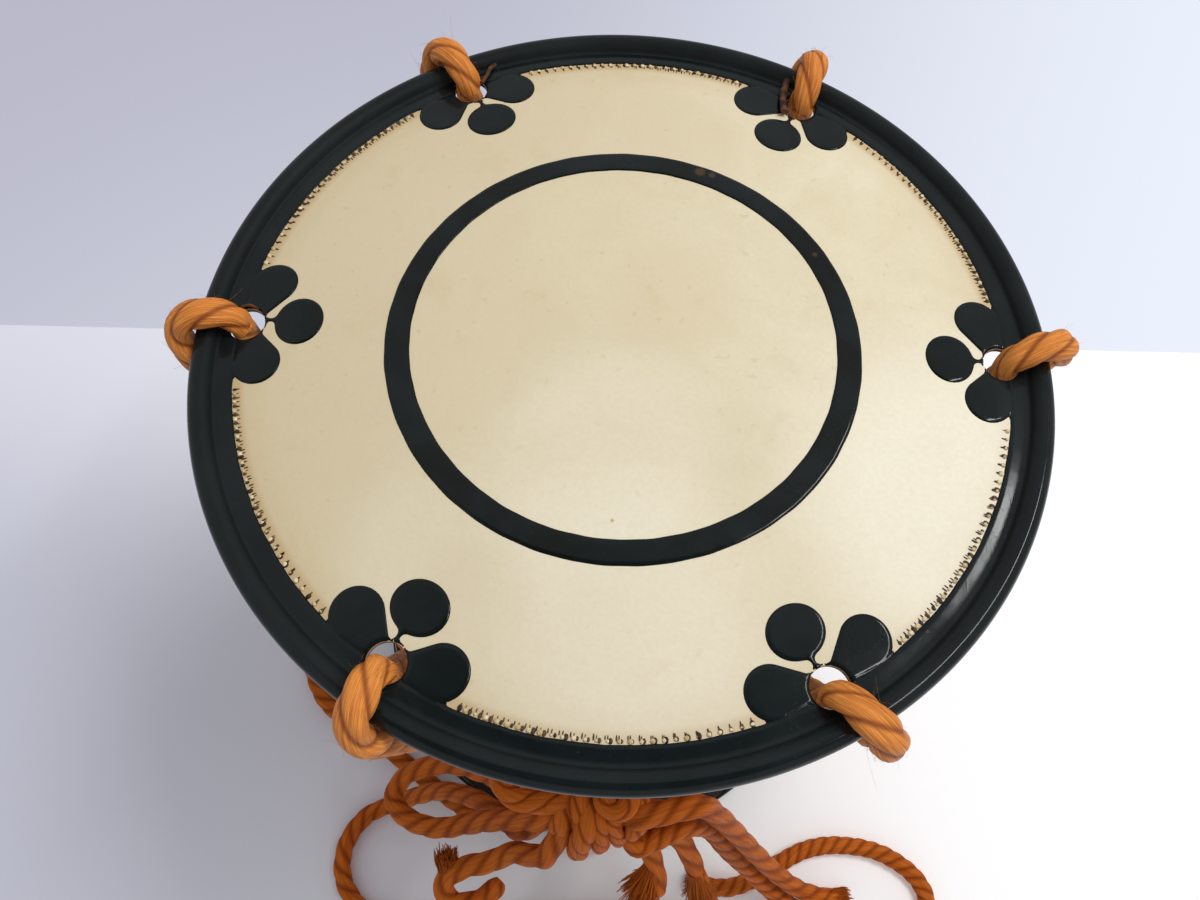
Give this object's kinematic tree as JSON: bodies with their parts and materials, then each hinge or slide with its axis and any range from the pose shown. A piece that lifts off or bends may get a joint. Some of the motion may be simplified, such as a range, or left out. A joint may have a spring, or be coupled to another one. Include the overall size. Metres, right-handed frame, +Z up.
{
  "type": "hand drum",
  "caption": "Small hourglass hand drum: lacquered skin heads on hoops laced with rope to a turned body, with a waist cord, its knot and free cord ends.",
  "frame": {"origin": "the drum's axis on the table it stands on", "axes": "+Z up along the drum's axis, -Y towards the knot at the front, +X to the right seen from the front"},
  "size_m": [0.2872, 0.249, 0.2623],
  "materials": {
    "skin": "cream rawhide, satin",
    "black_lacquer": "glossy green-black lacquer",
    "iron": "dark iron wire",
    "thread": "matt cream thread",
    "lacquered_wood": "black lacquered wood",
    "orange_rope": "orange twisted rope"
  },
  "bodies": {
    "root": {"body": "lacquered_wood", "bow_loop": "orange_rope", "far_strand": "orange_rope", "frayed_tail": "orange_rope", "knot": "orange_rope", "lacing_lower_1": "orange_rope", "lacing_lower_2": "orange_rope", "lacing_lower_3": "orange_rope", "lacing_lower_4": "orange_rope", "lacing_lower_5": "orange_rope", "lacing_lower_6": "orange_rope", "lacing_upper_1": "orange_rope", "lacing_upper_2": "orange_rope", "lacing_upper_3": "orange_rope", "lacing_upper_4": "orange_rope", "lacing_upper_5": "orange_rope", "lacing_upper_6": "orange_rope", "left_table_loop": "orange_rope", "lower_border_and_petals": "black_lacquer", "lower_hoop": "iron", "lower_ring": "black_lacquer", "lower_seam_1": "thread", "lower_seam_2": "thread", "lower_seam_3": "thread", "lower_seam_4": "thread", "lower_seam_5": "thread", "lower_seam_6": "thread", "lower_skin": "skin", "right_table_loop": "orange_rope", "right_tail": "orange_rope", "short_tail": "orange_rope", "tassel_tail": "orange_rope", "upper_border_and_petals": "black_lacquer", "upper_hoop": "iron", "upper_ring": "black_lacquer", "upper_seam_1": "thread", "upper_seam_2": "thread", "upper_seam_3": "thread", "upper_seam_4": "thread", "upper_seam_5": "thread", "upper_seam_6": "thread", "upper_skin": "skin", "waist_cord": "orange_rope"}
  },
  "joints": []
}
